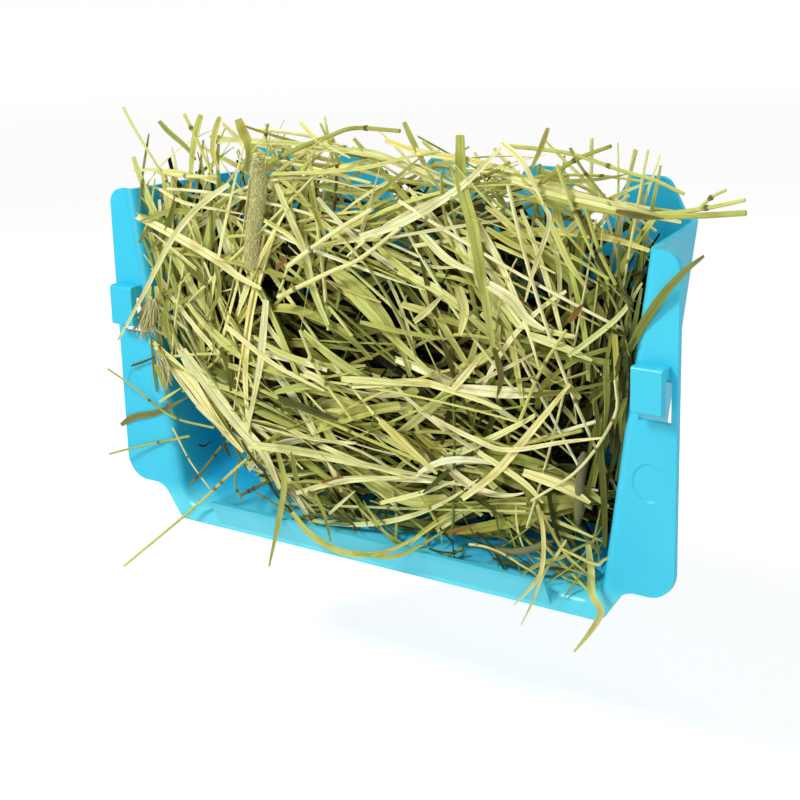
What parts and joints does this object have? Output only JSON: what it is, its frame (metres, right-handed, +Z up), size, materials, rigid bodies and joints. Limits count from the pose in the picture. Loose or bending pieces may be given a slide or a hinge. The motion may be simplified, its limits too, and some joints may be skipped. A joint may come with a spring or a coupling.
{
  "type": "hay feeder box",
  "caption": "Moulded hay feeder box with two hooks for a cage wire, an open front, a low front lip and a scalloped back wall, filled with loose hay.",
  "frame": {"origin": "the middle of the cage wire that both hooks sit on, half-way between the hooks", "axes": "+X along the wire, to the right seen from the open front; +Y from the cage panel into the box; +Z up"},
  "size_m": [0.2646, 0.0654, 0.187],
  "materials": {
    "box_plastic": "semi-gloss sky-blue moulded polypropylene",
    "packed_hay": "dull packed dry grass",
    "hay_stalk": "dry grass stalk with a slight sheen",
    "hay_leaf": "dry grass leaf",
    "seed_head": "dull bristly seed head"
  },
  "bodies": {
    "feeder": {"feeder_box": "box_plastic"},
    "hay": {"hay_bed": "packed_hay", "hay_stalks_01": "hay_stalk", "hay_stalks_02": "hay_stalk", "hay_leaves_03": "hay_leaf", "hay_stalks_04": "hay_stalk", "hay_stalks_05": "hay_stalk", "hay_leaves_06": "hay_leaf", "hay_stalks_07": "hay_stalk", "hay_stalks_08": "hay_stalk", "hay_leaves_09": "hay_leaf", "hay_stalks_10": "hay_stalk", "hay_stalks_11": "hay_stalk", "hay_front_leaves": "hay_leaf", "hay_strays": "hay_stalk", "timothy_head": "seed_head"}
  },
  "joints": [
    {"name": "hay_lift", "type": "slide", "parent": "feeder", "child": "hay", "axis": [0, 0, 1], "range_m": [0, 0.19]}
  ]
}
